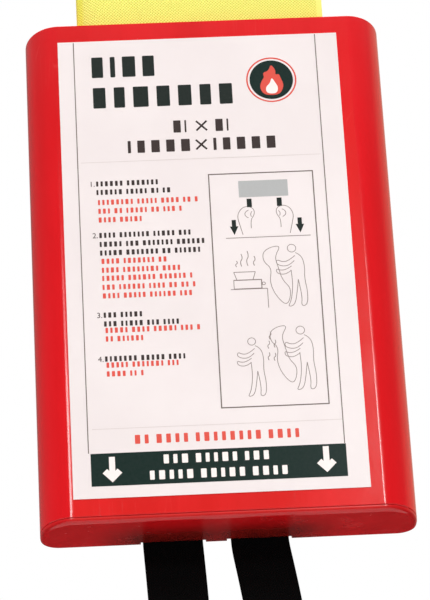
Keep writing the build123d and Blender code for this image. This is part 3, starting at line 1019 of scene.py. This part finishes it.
# Where steam rises from the pan (x, z, height), and where smoke curls between the last two figures (x, z).
STEAM = ((10.6, -4.6, 3.4), (13.2, -4.4, 7.0), (16.4, -4.2, 8.4), (19.8, -4.2, 5.4))
SMOKE = ((25.4, -45.6), (24.4, -50.6), (27.6, -50.2), (24.2, -57.0), (27.2, -57.4))


def placed(points, x=0.0, z=0.0, scale=1.0, flip=False):
    side = -1 if flip else 1
    return tuple((x + px * scale * side, z + pz * scale) for px, pz in points)


def print_emblem():
    """A plain fire sign: a dark disc in a thin red ring, with a flame in it."""
    dark = Print()
    dark.disc(EMBLEM_CENTRE, EMBLEM_DISC)
    dark.finish("label_emblem_disc", GREEN_INK)
    ring = Print()
    ring.disc(EMBLEM_CENTRE, *EMBLEM_RING)
    ring.finish("label_emblem_ring", RED_INK)
    flame = Print()
    flame.petal(EMBLEM_CENTRE, FLAME)
    flame.finish("label_emblem_flame", RED_INK, overprints=1)
    heart = Print()
    heart.petal(EMBLEM_CENTRE, FLAME_HEART)
    heart.finish("label_emblem_flame_heart", WHITE_INK, overprints=2)


def print_pictures():
    """The three pictures: hands pull two tapes, a figure covers a pan, and a figure covers another."""
    border = Print()
    border.frame(-1.5, 53.3, 49.0, -82.2, 0.6)
    border.finish("label_picture_frame", LINE_INK)
    dark = Print()
    for left in (17.8, 33.4):
        dark.block(left, 33.9, 2.6, 4.8)
    for x in (10.5, 44.6):
        dark.block(x - 1.1, 22.1, 2.2, 4.4)
        dark.arrow_head(x, 18.4, 4.4, 4.9)
    dark.finish("label_picture_tapes", DARK_INK)
    box = Print()
    box.block(14.0, 44.3, 25.6, 9.4)
    box.finish("label_picture_box", GREY_INK)
    pen = Print()
    draw_pulling_hands(pen)
    draw_covered_pan(pen)
    draw_covered_figure(pen)
    pen.finish("label_picture_lines", PALE_LINE_INK)


def draw_pulling_hands(pen):
    """A line under the first picture, and a left and a right hand."""
    pen.block(6.0, 12.0, 43.8, PEN)
    for flip, middle in ((False, 0.0), (True, HANDS_APART)):
        pen.strokes([placed(stroke, x=middle, flip=flip) for stroke in (HAND, *FINGERS)], PEN)


def draw_covered_pan(pen):
    """A steaming pan on a hob with one knob, on a table, and a figure that brings a cloth."""
    # The hob's top and right side are drawn twice, for a heavier line.
    pen.strokes([((8.6, -12.0), (23.0, -12.0), (23.0, -12.0), (23.0, -17.0))], PEN)
    pen.frame(8.5, 23.0, -12.0, -17.1, PEN)
    pan = ((8.9, -7.6), (20.0, -7.6), (10.3, -12.0), (18.6, -12.0))
    pen.bar(pan[0], pan[1], PEN)
    pen.bar(pan[0], pan[2], PEN)
    pen.bar(pan[1], pan[3], PEN)
    pen.bar((6.9, -17.2), (25.7, -17.2), PEN)
    pen.bar((25.7, -17.2), (25.7, -28.0), PEN)
    pen.strokes([placed(HEAD, 24.0, -14.4, KNOB_SCALE)], PEN, True)
    for x, z, tall in STEAM:
        curl = ((x, z), (x - 0.9, z + tall * 0.35), (x + 0.9, z + tall * 0.65), (x, z + tall))
        pen.strokes([curl], SOFT_PEN)
    draw_figure(pen, 40.6, -27.4, 1.0)
    pen.strokes([placed(HELD_CLOTH, 25.6, -30.0)], PEN, True)


def draw_covered_figure(pen):
    """A figure with a cloth, and a smaller one that it comes to cover, with smoke between them."""
    draw_figure(pen, 42.2, -73.4, 1.0)
    draw_figure(pen, 17.0, -76.0, 0.92)
    pen.strokes([placed(HELD_CLOTH, 26.6, -73.2, 0.96)], PEN, True)
    for x, z in SMOKE:
        pen.strokes([((x, z), (x - 0.8, z + 1.6), (x + 0.9, z + 2.6), (x + 0.3, z + 4.2))], SOFT_PEN)


def draw_figure(pen, x, z, scale):
    body = (FIGURE_BACK, FIGURE_FRONT, FIGURE_ARM, FIGURE_LOW_ARM)
    pen.strokes([placed(stroke, x, z, scale) for stroke in body], PEN)
    pen.strokes([placed(HEAD, x - 1.2 * scale, z + 32.2 * scale, scale)], PEN, True)


# ---------------------------------------------------------------- camera, light and floor

CAMERA_PLACE = Vector((-0.0578, -1.4284, -0.6289))
CAMERA_FORWARD = Vector((0.0371, 0.9160, 0.3995))
CAMERA_UP = Vector((0.0404, -0.4008, 0.9153))
CAMERA_LENS = 178.2
CAMERA_SENSOR = 36
CAMERA_NEAR = 0.01

STRIP_POWER = 44.0
STRIP_WIDTH = 0.25
STRIP_TARGET = Vector((0, 0, -0.1))
# Where each side's strip lights stand and how bright they are, and each level's height, length and share.
STRIP_SIDES = {"right": (0.44, -1.79, 1.5), "left": (-0.56, -1.75, 0.95)}
STRIP_LEVELS = ((0.55, 0.22, 1.0), (0.73, 0.14, 0.3))

FLOOR_SIZE = 2
FLOOR_MIDDLE = (0, -0.9, -1.35)


def make_camera():
    data = bpy.data.cameras.new("camera")
    data.lens = CAMERA_LENS
    data.sensor_width = CAMERA_SENSOR
    data.clip_start = CAMERA_NEAR
    camera = new_object(data)
    side = CAMERA_FORWARD.cross(CAMERA_UP).normalized()
    up = side.cross(CAMERA_FORWARD).normalized()
    turn = Matrix((side, up, -CAMERA_FORWARD.normalized())).transposed()
    camera.matrix_world = Matrix.Translation(CAMERA_PLACE) @ turn.to_4x4()
    bpy.context.scene.camera = camera


def make_strip_lights():
    """Two lights on each side, whose reflections run down the case's long front corners."""
    for side, (x, y, brightness) in STRIP_SIDES.items():
        for level, (height, tall, share) in enumerate(STRIP_LEVELS):
            data = bpy.data.lights.new(f"{side}_strip_{level}", "AREA")
            data.shape = "RECTANGLE"
            data.size, data.size_y = STRIP_WIDTH, tall
            data.energy = STRIP_POWER * brightness * STRIP_WIDTH * tall * share
            place = Vector((x, y, height))
            turn = (STRIP_TARGET - place).to_track_quat("-Z", "Y").to_matrix()
            new_object(data).matrix_world = Matrix.Translation(place) @ turn.to_4x4()


class RoomLight(NodeTree):
    """Builds the room's light from the direction it comes from."""

    def __init__(self, tree):
        super().__init__(tree)
        self.tree.nodes.clear()
        self.ray = self.node("TexCoord").outputs["Generated"]

    def direction(self):
        return self.node("SeparateXYZ", {0: self.ray}).outputs

    def patch(self, toward, outer_degrees, inner_degrees):
        """A round patch of light with a soft edge."""
        aim = tuple(Vector(toward).normalized())
        likeness = self.node("VectorMath", {0: self.ray, 1: aim}, operation="DOT_PRODUCT").outputs["Value"]
        outer, inner = (math.cos(math.radians(angle)) for angle in (outer_degrees, inner_degrees))
        return self.ramp(likeness, outer, inner)

    def add(self, light, amount, colour):
        """The light so far, plus an amount of a colour."""
        return self.node("VectorMath", {0: colour, 1: amount, 2: light}, operation="MULTIPLY_ADD").outputs[0]

    def show(self, light):
        """The light falls on the object, and the camera sees plain white behind it."""
        lit = self.node("Background", {"Color": light, "Strength": 1.0}).outputs[0]
        backdrop = self.node("Background", {"Color": (1, 1, 1, 1), "Strength": 1.0}).outputs[0]
        seen = self.node("LightPath").outputs["Is Camera Ray"]
        mixed = self.node("MixShader", {0: seen, 1: lit, 2: backdrop}).outputs[0]
        self.node("OutputWorld", {0: mixed})


def make_room():
    """Dim walls, a bright high band, fullest in front, a glow at the right rear and a warm front patch."""
    world = bpy.data.worlds.new("studio")
    world.use_nodes = True
    bpy.context.scene.world = world
    room = RoomLight(world.node_tree)
    east, north, up = room.direction()
    high = room.math("MULTIPLY", room.ramp(up, 0.46, 0.66), room.ramp(up, 0.96, 0.86))
    mostly_front = room.math("MULTIPLY_ADD", room.ramp(north, 0.35, -0.1), 0.45, 0.55)
    band = room.math("MULTIPLY", high, mostly_front)
    warm = room.patch((0.03, -0.985, 0.17), 20.5, 15.5)
    behind = room.math("MULTIPLY", room.ramp(north, 0.1, 0.5), room.ramp(up, -0.02, 0.2))
    behind = room.math("MULTIPLY", behind, room.ramp(east, -0.35, 0.35))
    light = room.add((0.05, 0.035, 0.033), room.ramp(up, -0.3, 0.0), (0.22, 0.125, 0.12))
    light = room.add(light, band, (3.65, 3.58, 3.52))
    light = room.add(light, behind, (0.42, 0.17, 0.10))
    light = room.add(light, warm, (0.34, 0.24, 0.10))
    room.show(light)


def make_floor():
    bm = bmesh.new()
    bmesh.ops.create_grid(bm, x_segments=1, y_segments=1, size=FLOOR_SIZE)
    bmesh.ops.translate(bm, verts=bm.verts, vec=FLOOR_MIDDLE)
    mesh = bpy.data.meshes.new("studio_floor")
    bm.to_mesh(mesh)
    bm.free()
    finish = Finish("pale_floor")
    speckle = finish.noise(finish.coordinates(), 6, 3)
    colour = finish.mix(speckle, rgb(0.49, 0.55, 0.555), rgb(0.53, 0.59, 0.595))
    finish.set(Base_Color=colour, Roughness=0.7)
    mesh.materials.append(finish.material)
    new_object(mesh)


# ---------------------------------------------------------------- the object and its studio

paint_cad_nodes()
fold_blanket()
print_titles()
print_steps()
print_banner()
print_emblem()
print_pictures()
print_hairlines()
tape_webbing, tape_thread = webbing(), sewing_thread()
for each_tape in (Tape(*layout) for layout in TAPE_LAYOUT):
    make_tape(each_tape, tape_webbing)
    make_stitching(each_tape, tape_thread)
make_camera()
make_room()
make_floor()
make_strip_lights()
bpy.context.scene.view_settings.view_transform = "Standard"
